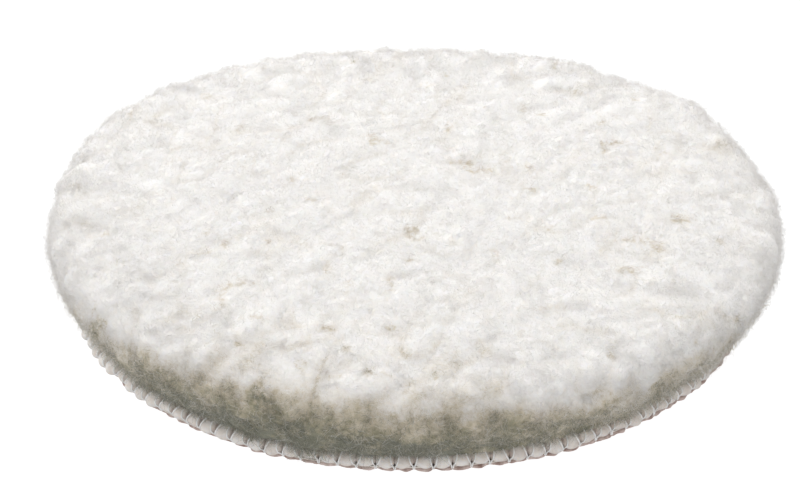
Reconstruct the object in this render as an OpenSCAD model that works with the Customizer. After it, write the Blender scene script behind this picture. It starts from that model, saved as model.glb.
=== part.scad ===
// Round lambskin polishing pad with a hook-and-loop back.
// Z = 0 is the face of the loops, which grips the machine's backing plate.
// The wool stands up along +Z. One stitch lies on the +X axis.

/* [Pad] */
// Diameter over the stitched edge
pad_d = 150; // [120:1:200]
// Diameter over the wool, where it leans out past the stitched edge
wool_d = 160; // [128:1:212]
// Height from the loop face to the top of the wool
pad_h = 23; // [18:0.5:32]
// How much higher the wool is at the middle than at its shoulder
crown_rise = 1.2; // [0.4:0.1:2]
// Diameter of the upright wool, inside the wool that leans outward
crown_d = 124; // [50:1:126]

/* [Layers] */
// Height of the brushed loops under the backing fabric
loop_t = 1.0; // [0.8:0.1:1.5]
// Thickness of the knitted backing fabric
fabric_t = 0.7; // [0.5:0.1:1]
// Thickness of the glue film between fabric and skin
film_t = 0.2; // [0.1:0.05:0.3]
// Thickness of the tanned skin inside the stitching
hide_t = 1.5; // [1:0.1:2]

/* [Edge stitching] */
// Stitches round the edge
stitches = 120; // [100:2:130]
// Distance from the edge to the needle holes
bite = 2.6; // [2.4:0.1:3.5]
// Height of the skin's edge where it swells between two stitches
puff_h = 2.6; // [2.2:0.1:3]
// Diameter of the clear sewing thread
thread_d = 0.32; // [0.2:0.02:0.36]
// Diameter of the needle holes
hole_d = 0.8; // [0.5:0.05:0.8]
// Share of one stitch's length that its two strands open to at the top
v_spread = 0.5; // [0.3:0.02:0.6]

/* [Hidden] */
$fn = 96;
eps = 0.01;
edge_r = pad_d / 2;
pitch_a = 360 / stitches;
pitch = PI * pad_d / stitches;
hole_ring_r = edge_r - bite;

// Undersides of the layers, from the loop face up
z_fabric = loop_t;
z_film = z_fabric + fabric_t;
z_hide = z_film + film_t;
z_wool = z_hide + hide_t;
z_puff = z_hide + puff_h;

// The loops stop short of the stitches, which press them flat at the edge
loop_r = hole_ring_r - 0.9;
film_r = edge_r - 1.4;

// Round puffs of skin between the stitches, and the nick that each stitch pulls into the fabric
puff_r = pitch * 0.52;
puff_ring_r = edge_r - puff_r;
notch_r = 1.3;
notch_ring_r = edge_r + 0.1;

// Each strand wraps the edge on an arc, from under the fabric to above the skin
wrap_low = z_fabric - 0.8 * thread_d;
wrap_top = z_puff + 0.8 * thread_d;
wrap_r = (wrap_top - wrap_low) / 2;
wrap_ring_r = edge_r + 0.25 - wrap_r;
leg_d = hole_d * 0.5;
foot_side = leg_d / 2 + thread_d * 0.6;
lean_a = atan2(pitch * v_spread / 2 - foot_side + thread_d, 2 * wrap_r);
z_seam = wrap_top + 0.8 * thread_d;

// The wool's rolled shoulder is one arc that reaches wool_d
root_r = hole_ring_r - 3;
shoulder_z = (z_seam + pad_h - crown_rise) / 2;
shoulder_r = pad_h - crown_rise - shoulder_z;
shoulder_ring_r = wool_d / 2 - shoulder_r;
dome_r = pow(shoulder_ring_r, 2) / (2 * crown_rise) + crown_rise / 2;

// The ring of needle holes, drilled through whatever it is taken from
module needle_holes(bottom, top) {
    for (i = [0 : stitches - 1])
        rotate(i * pitch_a)
            translate([hole_ring_r, 0, bottom - eps])
                cylinder(h = top - bottom + 2 * eps, d = hole_d, $fn = 24);
}

// Brushed loops that the machine's hooks grip
module loop_pile() {
    color("gainsboro")
        cylinder(r = loop_r, h = loop_t);
}

// Knitted fabric that carries the loops, nicked where each stitch goes round its edge
module backing_fabric() {
    color("rosybrown")
        difference() {
            translate([0, 0, z_fabric])
                cylinder(r = edge_r, h = fabric_t);
            for (i = [0 : stitches - 1])
                rotate(i * pitch_a)
                    translate([notch_ring_r, 0, z_fabric - eps])
                        cylinder(h = fabric_t + 2 * eps, r = notch_r, $fn = 24);
            needle_holes(z_fabric, z_film);
        }
}

// Film of flexible glue that bonds the fabric to the flesh side of the skin
module bonding_film() {
    color("khaki")
        difference() {
            translate([0, 0, z_film])
                cylinder(r = film_r, h = film_t);
            needle_holes(z_film, z_hide);
        }
}

// Tanned skin that the wool grows from, swollen into one puff between each two stitches
module hide_disc() {
    color("antiquewhite")
        difference() {
            union() {
                translate([0, 0, z_hide])
                    cylinder(r = puff_ring_r + 0.6, h = hide_t);
                for (i = [0 : stitches - 1])
                    rotate((i + 0.5) * pitch_a)
                        translate([puff_ring_r, 0, z_puff - puff_r])
                            sphere(r = puff_r, $fn = 48);
            }
            translate([0, 0, z_hide - puff_r])
                cylinder(r = pad_d, h = puff_r);
            needle_holes(z_hide, z_puff);
        }
}

// Half section of all the wool: a shallow dome with a rolled shoulder, raised over the seam
module wool_section() {
    intersection() {
        union() {
            translate([0, z_wool])
                square([root_r, pad_h]);
            translate([root_r - eps, z_seam])
                square([shoulder_ring_r - root_r + eps, pad_h]);
            translate([shoulder_ring_r, shoulder_z])
                circle(r = shoulder_r);
        }
        translate([0, pad_h - dome_r])
            circle(r = dome_r, $fn = 720);
        square([wool_d, pad_h + 1]);
    }
}

// Upright wool in the middle of the pad
module crown_wool() {
    color("ivory")
        rotate_extrude($fn = 180)
            intersection() {
                wool_section();
                square([crown_d / 2, pad_h + 1]);
            }
}

// Wool of the edge, which leans outward and hangs over the seam
module edge_wool() {
    color("floralwhite")
        rotate_extrude($fn = 180)
            difference() {
                wool_section();
                translate([-1, 0])
                    square([crown_d / 2 + 1, pad_h + 1]);
            }
}

// One strand of a stitch: an arc round the edge that leans sideways from its foot
module edge_strand(side) {
    translate([wrap_ring_r, side * foot_side, wrap_low])
        rotate([-side * lean_a, 0, 0])
            translate([0, 0, wrap_r])
                rotate([90, -100, 0])
                    rotate_extrude(angle = 200, $fn = 48)
                        translate([wrap_r, 0])
                            circle(d = thread_d, $fn = 16);
}

// One stitch of the one-thread overedge seam, at angle 0. The doubled thread fills its needle
// hole, and its two strands open into a V as they go up and over the edge.
module stitch() {
    translate([hole_ring_r, 0, wrap_low])
        cylinder(h = 2 * wrap_r, d = leg_d, $fn = 24);
    for (side = [-1, 1])
        edge_strand(side);
}

// Clear sewing thread, each stitch a group of three solids
module edge_thread() {
    color("azure")
        for (i = [0 : stitches - 1])
            rotate(i * pitch_a)
                stitch();
}

loop_pile();
backing_fabric();
bonding_film();
hide_disc();
crown_wool();
edge_wool();
edge_thread();
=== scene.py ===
"""Looks of a round lambskin polishing pad: curly wool, a skin edge sewn all round and a loop back.

Lengths are in metres. The pad lies in the CAD frame: the loop face is at z = 0, the wool stands up
along +Z and a stitch lies on the +X axis.
"""

import math

import bpy
import numpy as np
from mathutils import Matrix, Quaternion, Vector


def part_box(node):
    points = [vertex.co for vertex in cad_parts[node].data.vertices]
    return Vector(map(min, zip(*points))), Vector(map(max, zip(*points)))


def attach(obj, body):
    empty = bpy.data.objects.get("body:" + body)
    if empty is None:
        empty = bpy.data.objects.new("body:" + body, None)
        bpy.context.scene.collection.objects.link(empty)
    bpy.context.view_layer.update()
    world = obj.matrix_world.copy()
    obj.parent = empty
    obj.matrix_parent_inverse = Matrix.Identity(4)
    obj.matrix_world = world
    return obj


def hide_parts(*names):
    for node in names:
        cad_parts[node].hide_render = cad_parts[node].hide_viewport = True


MM = 0.001
TAU = 2 * math.pi
GOLDEN_ANGLE = math.pi * (3 - math.sqrt(5))

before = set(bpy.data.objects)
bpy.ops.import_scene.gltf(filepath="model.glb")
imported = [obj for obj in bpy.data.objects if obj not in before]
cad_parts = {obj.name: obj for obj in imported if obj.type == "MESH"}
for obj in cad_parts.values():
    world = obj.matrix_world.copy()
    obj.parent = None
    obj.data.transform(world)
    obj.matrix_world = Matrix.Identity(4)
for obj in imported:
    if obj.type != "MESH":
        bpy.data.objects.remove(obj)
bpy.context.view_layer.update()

# ---------------------------------------------------------------- sizes read from the frame

crown_low, crown_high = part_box("crown_wool")
edge_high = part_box("edge_wool")[1]
fabric_low, fabric_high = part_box("backing_fabric")
hide_low, hide_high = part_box("hide_disc")
loops_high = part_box("loop_pile")[1]
thread_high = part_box("edge_thread")[1]

EDGE_R = fabric_high.x
WOOL_R = edge_high.x
WOOL_TOP = crown_high.z
WOOL_ROOT = crown_low.z
SEAM_TOP = thread_high.z
STITCHES = 120
PITCH_ANGLE = TAU / STITCHES

# ---------------------------------------------------------------- wool

# The middle of the crown stands this much higher than its rim
CROWN_RISE = 1.2 * MM
# The wool's foot lies this far below the thread's top and this far inside the fabric's edge
FOOT_DROP = 1.1 * MM
FOOT_INSET = 0.8 * MM
# Powers that square the wool's shoulder a little and hollow its wall under the widest place
SHOULDER_OUT = 0.86
SHOULDER_UP = 0.9
WALL_HOLLOW = 1.1
PROFILE_STEPS = 40
# The wool's wall leans out from the seam and is widest at this share of its height
WIDEST_SHARE = 0.58
# The dense underwool ends this far inside the wool's outer surface
UNDERWOOL_DEPTH = 0.9 * MM
# and its mesh is about this fine
UNDERWOOL_CELL = 0.56 * MM
# Within this distance of its foot the underwool's lumps die away
RELIEF_FADE = 1.5 * MM
LOCK_SPACING = 3.2 * MM
# A lock's fibres spread to this share of the spacing, and start this far inside the underwool
LOCK_SPREAD = 0.75
ROOT_DEPTH = 0.5 * MM
CROWN_FIBRES_PER_LOCK = 34
EDGE_FIBRES_PER_LOCK = 46
FIBRE_RINGS = 5
# This share of the fibres is thinner and stands further out, which softens the outline
FLYAWAY_SHARE = 0.2
FLYAWAY_RISE = 1.75
FLYAWAY_THINNESS = 0.55
# No fibre rises further than this above its root
LONGEST_RISE = 2.8 * MM
# Fibres that start less than this far above the seam hang down, by about this much at their tips
HANG_BELOW = 3.5 * MM
HANG_DROP = 1.3 * MM
FIBRE_RADIUS = 0.032 * MM
SECTORS = 12
# Places where the fleece is fuller or thinner than a true circle, each with how much further out it
# reaches there, the angle round the axis, and a power that is higher for a narrower place
FULLER_PLACES = (
    (3.6 * MM, math.radians(43), 7),
    (5.0 * MM, math.radians(130), 8),
    (0.5 * MM, math.radians(85), 4),
    (1.8 * MM, math.radians(-17), 4),
    (0.9 * MM, math.radians(165), 8),
    (-1.4 * MM, math.radians(-140), 6),
)
# The outline's unevenness starts at this share of the wool's radius, and is full this much
# further out
UNEVEN_FROM = 0.72
UNEVEN_BLEND = 0.2
# The wool's foot is drawn back from the seam on one side, by this much toward this angle
FOOT_BACK = 1.2 * MM
FOOT_BACK_DIRECTION = math.radians(-140)
# Painted shade on the wall's front, the side toward the camera: darkest at this angle round the
# axis, and this shade fades faster on one side
SHADED_SIDE_DIRECTION = math.radians(-102)
SHADED_SIDE_FADE_LEFT = 1.1
SHADED_SIDE_FADE_RIGHT = 0.88
# How dark the wall is all round, partly dirt and partly painted shade under the overhang, and how
# much more painted shade the front side gets
WALL_DARKENING_ALL_ROUND = 0.32
WALL_SHADE_ONE_SIDE = 0.9
# The share of the wall's height that this darkening reaches all round, how much higher the painted
# shade reaches on the front side, and the most
WALL_DARKENING_REACH_ALL_ROUND = 0.48
WALL_SHADE_REACH_ONE_SIDE = 0.46
WALL_DARKENING_REACH_MOST = 0.95
# The painted shade in the wool's crevices and hairlines is at most this dark
LINE_SHADE = 0.2
# Spots show where their noise is above this level, and are at most this dark
SPOT_LEVEL = 0.63
SPOT_SHADE = 0.42
# Painted shade deep in the pile: a fibre is this much darker where it leaves the underwool than
# at its tip
ROOT_SHADE = 0.05625
# The fleece's lumps, each with its width and height: wide swells, clumps and small curls
SWELL_WIDTH = 17 * MM
SWELL_HEIGHT = 0.75 * MM
CLUMP_WIDTH = 6.4 * MM
CLUMP_HEIGHT = 1.5 * MM
CURL_WIDTH = 2.8 * MM
CURL_HEIGHT = 0.62 * MM
# The direction in which the nap is brushed, and how strongly noise is drawn out along it
NAP = (0.5, 0.87, 0.0)
NAP_SQUEEZE = 0.45

rng = np.random.default_rng(7)


def unit(v):
    """Vectors of length one along the last axis."""
    return v / np.maximum(np.linalg.norm(v, axis=-1, keepdims=True), 1e-12)


def hash_grid(cell, seed):
    """A steady random number from 0 to 1 for each whole-number cell."""
    n = cell[..., 0] * 374761393 + cell[..., 1] * 668265263
    n = n + cell[..., 2] * 2147483647 + seed * 974634777
    n = (n ^ (n >> 13)) * 1274126177
    n = n ^ (n >> 16)
    return (n & 0xFFFFFF) / float(0xFFFFFF)


def smooth_noise(points, size, seed=0):
    """Value noise from -1 to 1 that varies over about size metres."""
    p = points / size
    cell = np.floor(p).astype(np.int64)
    f = p - cell
    f = f * f * (3 - 2 * f)
    total = np.zeros(points.shape[:-1])
    for dx in (0, 1):
        wx = f[..., 0] if dx else 1 - f[..., 0]
        for dy in (0, 1):
            wy = f[..., 1] if dy else 1 - f[..., 1]
            for dz in (0, 1):
                wz = f[..., 2] if dz else 1 - f[..., 2]
                corner = cell + np.array([dx, dy, dz])
                total += wx * wy * wz * hash_grid(corner, seed)
    return 2 * total - 1


def circle(angle):
    """Points at these angles on a circle of radius one round the axis."""
    return np.stack([np.cos(angle), np.sin(angle), np.zeros_like(angle)], axis=-1)


def even_angles(count):
    """This many angles spaced evenly round the axis."""
    return np.arange(count) * TAU / count


class WoolSurface:
    """The wool's outer surface: a turned profile from the middle of the top to its foot."""

    def __init__(self):
        top = WOOL_TOP - CROWN_RISE
        bottom = SEAM_TOP - FOOT_DROP
        foot_r = EDGE_R - FOOT_INSET
        self.mid_z = bottom + WIDEST_SHARE * (top - bottom)
        rise = top - self.mid_z
        drop = self.mid_z - bottom
        ring_r = WOOL_R - rise
        flat_r = np.linspace(0, ring_r, 60)
        flat = np.c_[flat_r, WOOL_TOP - CROWN_RISE * (flat_r / ring_r) ** 2]
        turn = np.radians(np.linspace(90, 0, PROFILE_STEPS))[1:]
        roll = np.c_[ring_r + (WOOL_R - ring_r) * np.cos(turn) ** SHOULDER_OUT,
                     self.mid_z + rise * np.sin(turn) ** SHOULDER_UP]
        fall = np.linspace(0, 1, PROFILE_STEPS)[1:]
        wall = np.c_[foot_r + (WOOL_R - foot_r) * np.cos(fall * math.pi / 2) ** WALL_HOLLOW,
                     self.mid_z - drop * fall]
        self.rz = np.vstack([flat, roll, wall])
        step = np.linalg.norm(np.diff(self.rz, axis=0), axis=1)
        self.length = np.concatenate([[0], np.cumsum(step)])
        mid_r = (self.rz[1:, 0] + self.rz[:-1, 0]) / 2
        self.area = np.concatenate([[0], np.cumsum(TAU * mid_r * step)])
        tangent = np.gradient(self.rz, self.length, axis=0)
        self.normal_rz = unit(np.c_[-tangent[:, 1], tangent[:, 0]])

    def at(self, share, angle):
        """Points and outward normals, given shares of the area and angles round the axis."""
        area = share * self.area[-1]
        r = np.interp(area, self.area, self.rz[:, 0])
        z = np.interp(area, self.area, self.rz[:, 1])
        nr = np.interp(area, self.area, self.normal_rz[:, 0])
        nz = np.interp(area, self.area, self.normal_rz[:, 1])
        c, s = np.cos(angle), np.sin(angle)
        outer = np.clip((r - UNEVEN_FROM * WOOL_R) / (UNEVEN_BLEND * WOOL_R), 0, 1)
        above_foot = np.clip((z - SEAM_TOP) / (self.mid_z - SEAM_TOP), 0, 1)
        fuller = sum(reach * np.clip(np.cos(angle - toward), 0, 1) ** power
                     for reach, toward, power in FULLER_PLACES)
        drawn_back = FOOT_BACK * np.clip(np.cos(angle - FOOT_BACK_DIRECTION), 0, 1) ** 4
        r = r + outer * (fuller * above_foot ** 0.7 - drawn_back * (1 - above_foot))
        points = np.stack([r * c, r * s, z], axis=-1)
        normals = unit(np.stack([nr * c, nr * s, nz], axis=-1))
        return points, normals


wool = WoolSurface()


def tangents(normals):
    """Two directions square to each normal and to each other."""
    helper = np.where(np.abs(normals[..., 2:3]) > 0.9, [1.0, 0, 0], [0, 0, 1.0])
    first = unit(np.cross(helper, normals))
    return first, np.cross(normals, first)


def mesh_object(name, vertices, faces_by_size, material_index=None):
    """A mesh object from arrays: faces_by_size is a list of index arrays, each of one face size."""
    me = bpy.data.meshes.new(name)
    loops = np.concatenate([f.ravel() for f in faces_by_size])
    sizes = np.concatenate([np.full(len(f), f.shape[1]) for f in faces_by_size])
    starts = np.concatenate([[0], np.cumsum(sizes)[:-1]])
    me.vertices.add(len(vertices))
    me.vertices.foreach_set("co", vertices.astype(np.float32).ravel())
    me.loops.add(len(loops))
    me.loops.foreach_set("vertex_index", loops.astype(np.int32))
    me.polygons.add(len(sizes))
    me.polygons.foreach_set("loop_start", starts.astype(np.int32))
    if material_index is not None:
        me.polygons.foreach_set("material_index", material_index.astype(np.int32))
    me.polygons.foreach_set("use_smooth", np.ones(len(sizes), bool))
    me.update(calc_edges=True)
    me.validate()
    obj = bpy.data.objects.new(name, me)
    bpy.context.scene.collection.objects.link(obj)
    return obj


def tubes(name, paths, radii, sides=3, shade=None):
    """One mesh of many closed tubes. paths is (tubes, rings, 3) and radii is (tubes, rings)."""
    count, rings = paths.shape[:2]
    tangent = unit(np.gradient(paths, axis=1))
    helper = np.roll(tangent.mean(axis=1, keepdims=True), 1, axis=-1) + [0.31, -0.17, 0.23]
    side_a = unit(np.cross(tangent, helper))
    side_b = np.cross(tangent, side_a)
    turn = np.arange(sides) * TAU / sides
    ring = side_a[:, :, None] * np.cos(turn)[:, None] + side_b[:, :, None] * np.sin(turn)[:, None]
    vertices = (paths[:, :, None] + ring * radii[:, :, None, None]).reshape(-1, 3)
    start = np.arange(count)[:, None, None] * rings * sides
    level = np.arange(rings - 1)[None, :, None] * sides
    k = np.arange(sides)[None, None, :]
    a = start + level + k
    b = start + level + (k + 1) % sides
    quads = np.stack([a, b, b + sides, a + sides], axis=-1).reshape(-1, 4)
    first = (start[:, 0] + np.arange(sides)[::-1]).reshape(-1, sides)
    last = (start[:, 0] + (rings - 1) * sides + np.arange(sides)).reshape(-1, sides)
    index = None
    if shade is not None:
        along = np.repeat(shade, sides, axis=1).ravel()
        index = np.concatenate([along, shade[:, 0], shade[:, -1]])
    return mesh_object(name, vertices, [quads, first, last], index)


def turned_mesh(name, rings):
    """A closed mesh from rings of points, each (points, 3). Neighbours may differ in count."""
    first = np.concatenate([[0], np.cumsum([len(r) for r in rings])])
    faces = []
    for i in range(len(rings) - 1):
        n_a, n_b = len(rings[i]), len(rings[i + 1])
        mid_a = (np.arange(n_a) + 0.5) / n_a
        mid_b = (np.arange(n_b) + 0.5) / n_b
        on_b = np.searchsorted(mid_b, mid_a, side="left")
        on_a = np.searchsorted(mid_a, mid_b, side="right")
        a, b = np.arange(n_a), np.arange(n_b)
        if n_a > 1:
            faces.append(np.c_[first[i] + a, first[i + 1] + on_b % n_b, first[i] + (a + 1) % n_a])
        if n_b > 1:
            after = first[i + 1] + (b + 1) % n_b
            faces.append(np.c_[first[i + 1] + b, after, first[i] + on_a % n_a])
    return mesh_object(name, np.concatenate(rings), [np.concatenate(faces)])


def along_nap(points):
    """Points squeezed along the wool's nap, so that noise read there is drawn out along it."""
    nap = unit(np.array(NAP))
    return points - np.outer(points @ nap, nap).reshape(points.shape) * NAP_SQUEEZE


def wool_relief(points):
    """How far the wool stands above or below its even surface at these points."""
    p = along_nap(points)
    swell = smooth_noise(p, SWELL_WIDTH, 3) * SWELL_HEIGHT
    clump = (np.abs(smooth_noise(p, CLUMP_WIDTH, 4)) - 0.4) * CLUMP_HEIGHT
    curl = (np.abs(smooth_noise(p, CURL_WIDTH, 5)) - 0.35) * CURL_HEIGHT
    return swell + clump + curl


def crevice_shade_and_spots(points):
    """Dark marks all over the wool: painted shade in crevices between clumps and in hairlines along
    the nap, and spots.
    """
    p = along_nap(points)
    # Painted shade in the crevices and hairlines, stronger in some patches than in others
    crevice_shade_patches = np.clip(0.5 + 1.2 * smooth_noise(points, 9 * MM, 13), 0.1, 1)
    crevice = np.clip(1 - np.abs(smooth_noise(p, CLUMP_WIDTH, 4)) / 0.2, 0, 1) * LINE_SHADE * crevice_shade_patches
    line = np.clip(1 - np.abs(smooth_noise(p, 3.1 * MM, 18)) / 0.07, 0, 1)
    hairline = line * LINE_SHADE * np.clip(crevice_shade_patches - 0.25, 0, 1)
    grainy = np.clip(0.6 + 1.3 * smooth_noise(points, 0.7 * MM, 14), 0, 1.6)
    above = np.clip(smooth_noise(points, 4.4 * MM, 8) - SPOT_LEVEL, 0, 1)
    spots = np.clip(above * 2.0 * grainy, 0, SPOT_SHADE)
    return crevice + hairline + spots


def wall_dirt_and_shade(points):
    """How dark the wall is: most at its foot, partly dirt and partly painted shade under the
    overhang, and on its front, which is painted shade. Its upper edge is ragged.
    """
    height = WOOL_TOP - SEAM_TOP
    toward = np.arctan2(points[..., 1], points[..., 0])
    off_axis = (toward - SHADED_SIDE_DIRECTION + math.pi) % TAU - math.pi
    off_axis = off_axis * np.where(off_axis < 0, SHADED_SIDE_FADE_LEFT, SHADED_SIDE_FADE_RIGHT)
    facing = np.cos(np.clip(off_axis, -math.pi / 2, math.pi / 2))
    ragged = 0.16 * smooth_noise(points, 12 * MM, 15) + 0.14 * smooth_noise(points, 3.6 * MM, 17)
    reach = WALL_DARKENING_REACH_ALL_ROUND + WALL_SHADE_REACH_ONE_SIDE * facing ** 2.4 + ragged
    dark_top = np.minimum(reach, WALL_DARKENING_REACH_MOST) * height
    # Darker toward the foot: partly the wool's dirtier roots, partly painted shade under the
    # overhang
    low = np.clip(1 - (points[..., 2] - SEAM_TOP) / dark_top, 0, 1) ** 0.58
    # Painted shade on the front side, added to the darkening all round
    darkening = WALL_DARKENING_ALL_ROUND + WALL_SHADE_ONE_SIDE * facing ** 2
    patchy = 0.92 + 0.3 * smooth_noise(points, 4.2 * MM, 9)
    patchy = patchy + 0.18 * smooth_noise(points, 22 * MM, 10)
    specks = 0.32 * smooth_noise(points, 1.0 * MM, 12)
    return low * darkening * (patchy + specks)


def wool_shade(points, depth):
    """How dark the wool is painted, from 0 where it is clean and lit to 1: spots, dirt and painted
    shade. depth is below the tips, in metres.
    """
    # Painted shade deep in the pile, darker toward the fibres' roots
    below_tips = depth / UNDERWOOL_DEPTH * ROOT_SHADE
    return np.clip(crevice_shade_and_spots(points) + wall_dirt_and_shade(points) + below_tips, 0, 1)


# ---------------------------------------------------------------- materials


def new_material(name):
    """A new node material, with its nodes, its links and its shader."""
    mat = bpy.data.materials.new(name)
    mat.use_nodes = True
    return mat, mat.node_tree.nodes, mat.node_tree.links, mat.node_tree.nodes["Principled BSDF"]


def soften(shader, reach):
    """Let light spread this far inside a material, which softens wool and skin."""
    shader.inputs["Subsurface Weight"].default_value = 0.5
    shader.inputs["Subsurface Radius"].default_value = (1.0, 0.9, 0.75)
    shader.inputs["Subsurface Scale"].default_value = reach


def fibre_material(name, colour):
    """The material of one shade of fibre."""
    mat, nodes, links, shader = new_material(name)
    shader.inputs["Base Color"].default_value = (*colour, 1)
    shader.inputs["Roughness"].default_value = 0.85
    soften(shader, 0.6 * MM)
    return mat


def mottled(name, dark, light, scale, roughness, bump, bump_scale, sheen=0.0):
    """A material mottled between two colours, with fine bumps."""
    mat, nodes, links, shader = new_material(name)
    place = nodes.new("ShaderNodeTexCoord")
    spots = nodes.new("ShaderNodeTexNoise")
    spots.inputs["Scale"].default_value = scale
    spots.inputs["Detail"].default_value = 6
    ramp = nodes.new("ShaderNodeValToRGB")
    ramp.color_ramp.elements[0].position = 0.32
    ramp.color_ramp.elements[0].color = (*dark, 1)
    ramp.color_ramp.elements[1].position = 0.68
    ramp.color_ramp.elements[1].color = (*light, 1)
    grain = nodes.new("ShaderNodeTexNoise")
    grain.inputs["Scale"].default_value = bump_scale
    grain.inputs["Detail"].default_value = 5
    relief = nodes.new("ShaderNodeBump")
    relief.inputs["Strength"].default_value = 0.6
    relief.inputs["Distance"].default_value = bump
    links.new(place.outputs["Object"], spots.inputs["Vector"])
    links.new(place.outputs["Object"], grain.inputs["Vector"])
    links.new(spots.outputs["Fac"], ramp.inputs["Fac"])
    links.new(ramp.outputs["Color"], shader.inputs["Base Color"])
    links.new(grain.outputs["Fac"], relief.inputs["Height"])
    links.new(relief.outputs["Normal"], shader.inputs["Normal"])
    shader.inputs["Roughness"].default_value = roughness
    shader.inputs["Sheen Weight"].default_value = sheen
    return mat


# From clean wool to the darkest olive; the darker shades carry the wall's dirt and its painted
# shade, and the painted shade in crevices and deep in the pile
WOOL_SHADES = [
    (0.957, 0.938, 0.918),
    (0.87, 0.837, 0.79),
    (0.68, 0.615, 0.495),
    (0.43, 0.395, 0.28),
    (0.24, 0.245, 0.19),
]

# The crown isn't soiled or shaded like the wall, and its few dark spots are tan; its darker shades
# also carry the painted shade in its crevices
CROWN_SHADES = WOOL_SHADES[:2] + [
    (0.73, 0.64, 0.555),
    (0.54, 0.45, 0.375),
    (0.34, 0.28, 0.23),
]

# From clean skin to dark brown; the darker shades carry wear and the painted shade under the puffs
# and in the notches between them
SKIN_SHADES = [
    (0.92, 0.885, 0.86),
    (0.76, 0.70, 0.66),
    (0.52, 0.43, 0.39),
    (0.30, 0.22, 0.19),
]


def shaded_material(name, shades, grain_scale, grain_share, bump, roughness):
    """A material that reads a mesh's shade attribute and adds grain. shades go from clean on."""
    mat, nodes, links, shader = new_material(name)
    place = nodes.new("ShaderNodeTexCoord")
    shade = nodes.new("ShaderNodeAttribute")
    shade.attribute_name = "shade"
    grain = nodes.new("ShaderNodeTexNoise")
    grain.inputs["Scale"].default_value = grain_scale
    grain.inputs["Detail"].default_value = 6
    grain.inputs["Distortion"].default_value = 1.2
    mix = nodes.new("ShaderNodeMath")
    mix.operation = "MULTIPLY_ADD"
    mix.inputs[1].default_value = grain_share
    mix.inputs[2].default_value = -grain_share / 2
    add = nodes.new("ShaderNodeMath")
    add.operation = "ADD"
    ramp = nodes.new("ShaderNodeValToRGB")
    while len(ramp.color_ramp.elements) < len(shades):
        ramp.color_ramp.elements.new(0.5)
    for i, colour in enumerate(shades):
        ramp.color_ramp.elements[i].position = i / (len(shades) - 1)
        ramp.color_ramp.elements[i].color = (*colour, 1)
    relief = nodes.new("ShaderNodeBump")
    relief.inputs["Strength"].default_value = 0.7
    relief.inputs["Distance"].default_value = bump
    links.new(place.outputs["Object"], grain.inputs["Vector"])
    links.new(grain.outputs["Fac"], mix.inputs[0])
    links.new(mix.outputs[0], add.inputs[0])
    links.new(shade.outputs["Fac"], add.inputs[1])
    links.new(add.outputs[0], ramp.inputs["Fac"])
    links.new(ramp.outputs["Color"], shader.inputs["Base Color"])
    links.new(grain.outputs["Fac"], relief.inputs["Height"])
    links.new(relief.outputs["Normal"], shader.inputs["Normal"])
    shader.inputs["Roughness"].default_value = roughness
    shader.inputs["Sheen Weight"].default_value = 0.15
    soften(shader, 1.2 * MM)
    return mat


def paint_shade(obj, shade):
    """Store one shade for each vertex, which shaded_material reads."""
    attribute = obj.data.color_attributes.new("shade", "FLOAT_COLOR", "POINT")
    colours = np.repeat(shade[:, None], 4, axis=1).astype(np.float32)
    attribute.data.foreach_set("color", colours.ravel())


underwool_mat = shaded_material("underwool", WOOL_SHADES, 1400, 0.42, 0.35 * MM, 0.95)


def fibre_materials(name, shades):
    """One material for each shade, from clean to dark, which a fibre takes along its length."""
    return [fibre_material(f"{name}_{i + 1}", colour) for i, colour in enumerate(shades)]


fibre_mats = {
    "crown": fibre_materials("crown_wool", CROWN_SHADES),
    "edge": fibre_materials("edge_wool", WOOL_SHADES),
}
skin_mat = shaded_material("skin", SKIN_SHADES, 900, 0.46, 0.2 * MM, 0.7)
knit_mat = mottled("knit", (0.32, 0.21, 0.18), (0.78, 0.66, 0.62), 650, 0.9, 0.1 * MM, 4000)
loop_mat = mottled("loops", (0.70, 0.69, 0.68), (0.86, 0.85, 0.84), 260, 0.85, 0.05 * MM, 3000,
                   sheen=0.3)
glue_mat = mottled("glue", (0.78, 0.74, 0.68), (0.88, 0.85, 0.80), 420, 0.45, 0.04 * MM, 2200)
thread_mat = mottled("thread", (0.90, 0.90, 0.90), (0.99, 0.99, 0.99), 900, 0.16, 0.01 * MM, 5000)

# ---------------------------------------------------------------- wool locks


class Locks:
    """Where each lock of wool stands, how high it is and which way it leans."""

    def __init__(self):
        count = int(wool.area[-1] / (0.87 * LOCK_SPACING**2))
        order = np.arange(count) + 0.5
        share = np.clip((order + rng.uniform(-1, 1, count) * 12) / count, 0.0005, 0.9995)
        angle = order * GOLDEN_ANGLE + rng.normal(0, 0.3, count) * LOCK_SPACING / 60e-3
        self.angle = angle % TAU
        self.point, self.normal = wool.at(share, angle)
        self.side_a, self.side_b = tangents(self.normal)
        self.heading = TAU * smooth_noise(self.point, 8 * MM, 11) + rng.normal(0, 0.5, count)


locks = Locks()


def underwool():
    """The dense wool below the loose fibres: one closed turned solid with a clumped surface."""
    rings = []
    steps = int(wool.length[-1] / UNDERWOOL_CELL)
    for s in np.linspace(0, wool.length[-1], steps):
        share = np.interp(s, wool.length, wool.area) / wool.area[-1]
        r = np.interp(s, wool.length, wool.rz[:, 0])
        count = max(1, int(TAU * r / UNDERWOOL_CELL))
        point, normal = wool.at(np.full(count, share), even_angles(count))
        near_seam = np.clip((wool.length[-1] - s) / RELIEF_FADE, 0, 1)
        rings.append(point + normal * (wool_relief(point) * near_seam - UNDERWOOL_DEPTH)[:, None])
    inner_r = EDGE_R - 5.6 * MM
    for r, z in ((inner_r, SEAM_TOP + 0.1 * MM), (inner_r, WOOL_ROOT), (0.0, WOOL_ROOT)):
        count = max(1, int(TAU * r / (4 * UNDERWOOL_CELL)))
        rings.append(circle(even_angles(count)) * r + np.array([0, 0, z]))
    obj = turned_mesh("wool_underwool", rings)
    co = np.concatenate(rings)
    paint_shade(obj, wool_shade(co, np.zeros(len(co))))
    obj.data.materials.append(underwool_mat)
    return obj


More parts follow.
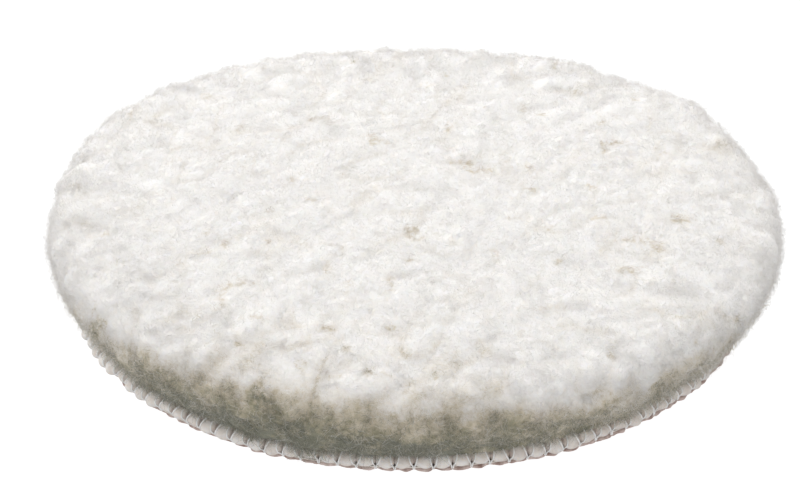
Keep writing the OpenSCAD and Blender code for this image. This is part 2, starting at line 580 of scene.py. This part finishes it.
def fibre_paths(chosen, per_lock, seed):
    """Paths of the fibres of the chosen locks, and which of them fly away.

    Each fibre rises out of the underwool, bends over and curls. Near the seam it hangs down.
    """
    r = np.random.default_rng(seed)
    idx = np.repeat(chosen, per_lock)
    n = len(idx)
    t = np.linspace(0, 1, FIBRE_RINGS)[None, :]
    a, b, up = locks.side_a[idx], locks.side_b[idx], locks.normal[idx]
    spread = np.sqrt(r.uniform(0, 1, n)) * LOCK_SPREAD * LOCK_SPACING
    turn = r.uniform(0, TAU, n)
    offset = a * (spread * np.cos(turn))[:, None] + b * (spread * np.sin(turn))[:, None]
    base = locks.point[idx] + offset
    start = base + up * (wool_relief(base) - UNDERWOOL_DEPTH - ROOT_DEPTH)[:, None]
    rise = (0.45 * MM + r.gamma(3.0, 0.22, n) * MM)[:, None] * (1 - (1 - t) ** 2.2)
    flyaway = r.uniform(0, 1, n) < FLYAWAY_SHARE
    rise = np.minimum(rise * np.where(flyaway, FLYAWAY_RISE, 1.0)[:, None], LONGEST_RISE)
    reach = r.uniform(0.8, 2.6, n)[:, None] * MM * t
    heading = (locks.heading[idx] + r.normal(0, 1.1, n))[:, None] + r.normal(0, 2.2, n)[:, None] * t
    path = start[:, None] + up[:, None] * rise[:, :, None]
    path += a[:, None] * (reach * np.cos(heading))[:, :, None]
    path += b[:, None] * (reach * np.sin(heading))[:, :, None]
    path += r.normal(0, 0.07 * MM, path.shape)
    near_foot = np.clip(1 - (base[:, 2] - SEAM_TOP) / HANG_BELOW, 0, 1)
    hang = near_foot * (1 + smooth_noise(base, 4.5 * MM, 16)) * HANG_DROP
    path[..., 2] -= hang[:, None] * t**1.5
    path[..., 2] = np.maximum(path[..., 2], hide_low.z + 0.2 * MM)
    return path, flyaway


def fibres(name, chosen, per_lock, seed, mats):
    """One mesh with the fibres of a group of locks."""
    path, flyaway = fibre_paths(chosen, per_lock, seed)
    taper = np.interp(np.linspace(0, 1, FIBRE_RINGS), [0, 0.6, 1], [1, 0.9, 0.3])
    r = np.random.default_rng(seed + 1)
    radii = FIBRE_RADIUS * r.uniform(0.7, 1.3, len(path))[:, None] * taper[None, :]
    radii = radii * np.where(flyaway, FLYAWAY_THINNESS, 1.0)[:, None]
    middle = (path[:, 1:] + path[:, :-1]) / 2
    depth = UNDERWOOL_DEPTH * (1 - np.linspace(0, 1, FIBRE_RINGS - 1))[None, :]
    shade = wool_shade(middle, depth)
    shade += (0.02 + 0.38 * shade) * r.normal(0, 1, len(path))[:, None]
    level = np.clip(shade * len(mats), 0, len(mats) - 1).astype(int)
    obj = tubes(name, path, radii, 3, level)
    for mat in mats:
        obj.data.materials.append(mat)
    return obj


def fleece():
    """The underwool and the fibres, in sectors: the upright crown and the leaning edge."""
    base = underwool()
    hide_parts("crown_wool", "edge_wool")
    pieces = [base]
    crown_r = crown_high.x
    radius = np.hypot(locks.point[:, 0], locks.point[:, 1])
    is_edge = (radius > crown_r) | (locks.point[:, 2] < wool.mid_z)
    sector = (locks.angle / TAU * SECTORS).astype(int) % SECTORS
    for k in range(SECTORS):
        for part, mask, per_lock in (
            ("crown", ~is_edge, CROWN_FIBRES_PER_LOCK),
            ("edge", is_edge, EDGE_FIBRES_PER_LOCK),
        ):
            chosen = np.nonzero(mask & (sector == k))[0]
            seed = 100 + 2 * k + (part == "edge")
            name = f"{part}_fibres_{k + 1}"
            pieces.append(fibres(name, chosen, per_lock, seed, fibre_mats[part]))
    for piece in pieces:
        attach(piece, "root")


fleece()

# ---------------------------------------------------------------- skin, fabric, loops, thread

PUFF_STEPS = 12
PUFF_REACH = 2.1 * MM
PUFF_DROOP = 0.55 * MM
PUFF_HALF = (hide_high.z - hide_low.z) / 2
# The fabric's edge lies this far inside the seam's own radius, is cut in further at each stitch, is
# ragged, and lies a little off centre toward this angle
RIM_INSET = 1.05 * MM
RIM_NOTCH = 0.5 * MM
RIM_RAGGED = 0.45 * MM
RIM_OFF_CENTRE = 0.4 * MM
RIM_DIRECTION = -0.2


def puff_share(angle):
    """How far between two stitches an angle is: 0 at a stitch and 1 midway to the next."""
    return np.abs(np.sin(angle * STITCHES / 2))


def puff_swell(angle):
    """How swollen the skin's edge is at an angle: 0 at a stitch, and about 1 midway."""
    uneven = 1 + 0.5 * smooth_noise(circle(angle) * EDGE_R, 4.2 * MM, 31)
    return puff_share(angle) ** 0.5 * uneven


def skin_edge(turn, angle):
    """Radius and height of the skin's rounded edge. turn is 90 degrees at its top and -90 below."""
    swell = puff_swell(angle)
    outward = np.cos(turn)
    r = EDGE_R - PUFF_REACH + PUFF_REACH * outward * (0.5 + 0.5 * swell) - 0.35 * MM * (1 - swell)
    z = hide_low.z + PUFF_HALF + PUFF_HALF * np.sin(turn) * (0.55 + 0.45 * swell)
    low_side = np.clip(-np.sin(turn), 0, 1)
    droop = PUFF_DROOP * swell * np.clip(outward, 0, 1) ** 2 * (0.4 + 0.6 * low_side)
    z = np.maximum(z, hide_low.z) - droop
    return r, z


def fabric_rim(angle):
    """Radius of the backing fabric's uneven edge, nicked at each stitch."""
    ragged = smooth_noise(circle(angle) * EDGE_R, 1.5 * MM, 41)
    off_centre = RIM_OFF_CENTRE * np.cos(angle - RIM_DIRECTION)
    notch = RIM_NOTCH * (1 - puff_share(angle) ** 0.6)
    return EDGE_R - RIM_INSET - notch + RIM_RAGGED * ragged + off_centre


def ring_faces(rows, turns):
    """Quads between neighbouring rings, and a many-sided face that closes each end."""
    level = np.arange(rows - 1)[:, None] * turns
    k = np.arange(turns)[None, :]
    after = (k + 1) % turns
    quads = np.stack([level + k, level + turns + k, level + turns + after, level + after], -1)
    cap_first = np.arange(turns)[None, :]
    cap_last = ((rows - 1) * turns + np.arange(turns)[::-1])[None, :]
    return [quads.reshape(-1, 4), cap_first, cap_last]


def skin():
    """The tanned skin: flat inside, swollen between the stitches at its edge."""
    turns = STITCHES * PUFF_STEPS
    angle = even_angles(turns)
    around = circle(angle)
    flat_radii = (20 * MM, EDGE_R - 4.4 * MM)
    rows = [around * r + np.array([0, 0, WOOL_ROOT]) for r in flat_radii]
    for degrees in np.linspace(100, -90, 25):
        r, z = skin_edge(np.full(turns, math.radians(degrees)), angle)
        row = around * r[:, None]
        row[:, 2] = z
        fine = smooth_noise(row, 0.9 * MM, 33) * 0.05 * MM
        rows.append(row + around * fine[:, None])
    rows += [around * r + np.array([0, 0, hide_low.z]) for r in reversed(flat_radii)]
    co = np.concatenate(rows)
    obj = mesh_object("hide_edge", co, ring_faces(len(rows), turns))
    # Painted shade: darker on the skin's underside and in the notches at the stitches
    underside = np.clip((hide_low.z + 0.5 * MM - co[:, 2]) / (1.0 * MM), 0, 1)
    toward = np.arctan2(co[:, 1], co[:, 0])
    valley = (1 - puff_share(toward)) ** 3
    # Random wear, and painted shade that darkens one side of the skin and lightens the other
    wear_and_side_shade = 0.3 * smooth_noise(co, 1.4 * MM, 34) + 0.25 * smooth_noise(co, 9 * MM, 35)
    wear_and_side_shade = wear_and_side_shade + 0.14 * np.cos(toward + 0.5)
    shade = 0.17 + 0.5 * underside + 0.5 * valley + wear_and_side_shade * (0.6 + underside)
    paint_shade(obj, np.clip(shade, 0, 1))
    obj.data.materials.append(skin_mat)
    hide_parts("hide_disc")
    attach(obj, "root")


def fabric():
    """The knitted backing: a sheet whose lip shows under the skin's edge."""
    turns = STITCHES * PUFF_STEPS
    angle = even_angles(turns)
    around = circle(angle)
    ragged = smooth_noise(around * EDGE_R, 2.2 * MM, 42)
    low, high = fabric_low.z, fabric_high.z
    rim = fabric_rim(angle)
    rows = []
    for inset, z in ((3.0, high), (0.35, high), (0.08, high - 0.2 * MM), (0.0, (low + high) / 2),
                     (0.1, low + 0.12 * MM), (0.35, low), (3.0, low)):
        row = around * (rim - inset * MM)[:, None]
        row[:, 2] = z + 0.06 * MM * ragged * (inset < 1)
        rows.append(row)
    obj = mesh_object("backing_sheet", np.concatenate(rows), ring_faces(len(rows), turns))
    obj.data.materials.append(knit_mat)
    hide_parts("backing_fabric")
    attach(obj, "root")


THREAD_RADIUS = 0.16 * MM
# Each strand of a stitch leans aside by about this share of the way to the next stitch
STRAND_OPENING = 0.27


def strand(middle, side, opening):
    """One strand: out of its hole below, round the edge in its nick, and over a puff's shoulder."""
    low_z = fabric_low.z - 0.8 * THREAD_RADIUS
    start = PITCH_ANGLE * 0.03
    points = []
    for inset in (2.6 * MM, 2.0 * MM):
        points.append((EDGE_R - inset, low_z, middle + side * start))
    nick = fabric_rim(np.array([middle]))[0] + 0.7 * THREAD_RADIUS
    points.append((nick, low_z + 0.2 * MM, middle + side * start))
    points.append((nick + 0.05 * MM, fabric_high.z - 0.1 * MM, middle + side * start * 1.5))
    for degrees in np.linspace(-40, 95, 14):
        open_share = min(max((degrees + 40) / 110, 0), 1)
        angle = middle + side * (start * 1.5 + (opening - start * 1.5) * open_share)
        turn = math.radians(degrees)
        r, z = skin_edge(np.array([turn]), np.array([angle]))
        out, up = THREAD_RADIUS * math.cos(turn), THREAD_RADIUS * math.sin(turn)
        points.append((r[0] + out, z[0] + up, angle))
    points = np.array(points)
    for _ in range(2):
        points[1:-1] = (points[:-2] + 2 * points[1:-1] + points[2:]) / 4
    r, z, angle = points.T
    return np.c_[r * np.cos(angle), r * np.sin(angle), z]


def thread():
    """The clear thread: at each stitch two strands rise from the nick and part over the skin."""
    wobble = np.random.default_rng(51)
    paths = []
    for i in range(STITCHES):
        for side in (-1, 1):
            opening = PITCH_ANGLE * STRAND_OPENING * wobble.uniform(0.7, 1.25)
            paths.append(strand(i * PITCH_ANGLE, side, opening))
    paths = np.array(paths)
    obj = tubes("thread_strands", paths, np.full(paths.shape[:2], THREAD_RADIUS), 8)
    obj.data.materials.append(thread_mat)
    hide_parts("edge_thread")
    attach(obj, "root")


LOOP_COUNT = 20000
LOOP_SECTORS = 8
LOOP_RINGS = 6
LOOP_RADIUS = 0.06 * MM


def loop_ground():
    """The thin ground of the brushed loops: a turned sheet that thins and frays at its edge."""
    around = circle(even_angles(720))
    frayed = 1 + 0.006 * smooth_noise(around * EDGE_R, 1.6 * MM, 61)
    rows = []
    for share, z in ((0.5, 0.0), (0.9, 0.0), (0.99, 0.05), (1.0, 0.14), (1.0, 0.3), (0.985, 0.4)):
        row = around * (loops_high.x * share * frayed)[:, None]
        row[:, 2] = loops_high.z - z * MM
        rows.append(row)
    for share in (0.75, 0.5, 0.25):
        row = around * (loops_high.x * share)
        row[:, 2] = loops_high.z - 0.4 * MM + 0.05 * MM * smooth_noise(row, 3 * MM, 62)
        rows.append(row)
    rows = [np.array([[0, 0, loops_high.z]])] + rows + [np.array([[0, 0, loops_high.z - 0.4 * MM]])]
    return turned_mesh("loop_ground", rows)


def loop_paths(index, seed):
    """Small arches that hang from the ground, one for each index, with their feet side by side."""
    r = np.random.default_rng(seed)
    n = len(index)
    radius = (loops_high.x - 0.8 * MM) * np.sqrt((index + 0.5) / LOOP_COUNT)
    angle = index * GOLDEN_ANGLE + r.normal(0, 0.3, n) * MM / np.maximum(radius, 2 * MM)
    foot = np.stack([radius * np.cos(angle), radius * np.sin(angle)], axis=-1)
    facing = r.uniform(0, TAU, n)
    width = r.uniform(0.25, 0.42, n) * MM
    drop = r.uniform(0.45, 0.6, n) * MM
    lean = r.normal(0, 0.16, (n, 2)) * MM
    bow = np.linspace(0, math.pi, LOOP_RINGS)[None, :]
    path = np.zeros((n, LOOP_RINGS, 3))
    path[..., 0] = foot[:, :1] + width[:, None] * np.cos(bow) * np.cos(facing)[:, None]
    path[..., 1] = foot[:, 1:] + width[:, None] * np.cos(bow) * np.sin(facing)[:, None]
    path[..., 0] += lean[:, :1] * np.sin(bow)
    path[..., 1] += lean[:, 1:] * np.sin(bow)
    path[..., 2] = loops_high.z - 0.33 * MM - drop[:, None] * np.sin(bow) ** 0.8
    return path


def loop_face():
    """The brushed loops on the underside, which the machine's hooks grip."""
    ground = loop_ground()
    pieces = [ground]
    index = np.arange(LOOP_COUNT)
    sector = (index * GOLDEN_ANGLE / TAU % 1 * LOOP_SECTORS).astype(int)
    for k in range(LOOP_SECTORS):
        path = loop_paths(index[sector == k], 700 + k)
        radii = np.full(path.shape[:2], LOOP_RADIUS)
        pieces.append(tubes(f"brushed_loops_{k + 1}", path, radii, 3))
    for piece in pieces:
        piece.data.materials.append(loop_mat)
        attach(piece, "root")
    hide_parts("loop_pile")


skin()
fabric()
thread()
loop_face()

glue_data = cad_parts["bonding_film"].data
glue_data.materials.clear()
glue_data.materials.append(glue_mat)

# ---------------------------------------------------------------- stage, light and camera

LENS_IN_MILLIMETRES = 122
CAMERA_ELEVATION = math.radians(30.2)
CAMERA_ROLL = math.radians(-0.35)
CAMERA_DISTANCE = 0.6
CAMERA_TARGET = (-0.0025, 0, 0.0112)


def stage():
    """A plain pale floor and backdrop that glow a little, an even sky and four soft lights."""
    floor_mat, nodes, links, shader = new_material("floor_white")
    shader.inputs["Base Color"].default_value = (0.3, 0.3, 0.3, 1)
    shader.inputs["Roughness"].default_value = 0.9
    shader.inputs["Emission Color"].default_value = (1, 1, 1, 1)
    shader.inputs["Emission Strength"].default_value = 0.94
    bpy.ops.mesh.primitive_plane_add(size=60, location=(0, 0, -0.0002))
    floor = bpy.context.active_object
    floor.name = "floor"
    bpy.ops.mesh.primitive_cylinder_add(vertices=96, radius=8, depth=12, end_fill_type="NOTHING",
                                        location=(0, 0, 0))
    backdrop = bpy.context.active_object
    backdrop.name = "backdrop"
    for screen in (floor, backdrop):
        screen.data.materials.append(floor_mat)
        screen.visible_diffuse = False
        screen.visible_glossy = False
    backdrop.visible_shadow = False

    world = bpy.data.worlds.new("studio")
    bpy.context.scene.world = world
    world.use_nodes = True
    world.node_tree.nodes["Background"].inputs["Color"].default_value = (1.0, 0.995, 0.985, 1)
    world.node_tree.nodes["Background"].inputs["Strength"].default_value = 0.53

    for name, place, size, power in (
        ("key", (0.45, 0.55, 0.65), 0.7, 4.2),
        ("side", (-0.75, 0.3, 0.42), 0.8, 4.3),
        ("top", (0.0, 0.2, 1.1), 1.0, 2.0),
        ("front", (0.1, -0.9, 0.12), 0.5, 2.2),
    ):
        light = bpy.data.lights.new(name, "AREA")
        light.size = size
        light.energy = power
        lamp = bpy.data.objects.new(name, light)
        lamp.location = place
        lamp.rotation_euler = (-Vector(place)).to_track_quat("-Z", "Y").to_euler()
        bpy.context.scene.collection.objects.link(lamp)


def camera():
    """A long lens from the front, 30 degrees above the pad, rolled a little."""
    data = bpy.data.cameras.new("camera")
    data.lens = LENS_IN_MILLIMETRES
    data.sensor_width = 36
    data.clip_start = 0.01
    cam = bpy.data.objects.new("camera", data)
    bpy.context.scene.collection.objects.link(cam)
    target = Vector(CAMERA_TARGET)
    outward = Vector((0, -math.cos(CAMERA_ELEVATION), math.sin(CAMERA_ELEVATION)))
    cam.location = target + outward * CAMERA_DISTANCE
    aim = (target - cam.location).to_track_quat("-Z", "Y")
    roll = Quaternion((0, 0, 1), CAMERA_ROLL)
    cam.rotation_euler = (aim @ roll).to_euler()
    bpy.context.scene.camera = cam


stage()
camera()
bpy.context.scene.view_settings.view_transform = "Standard"
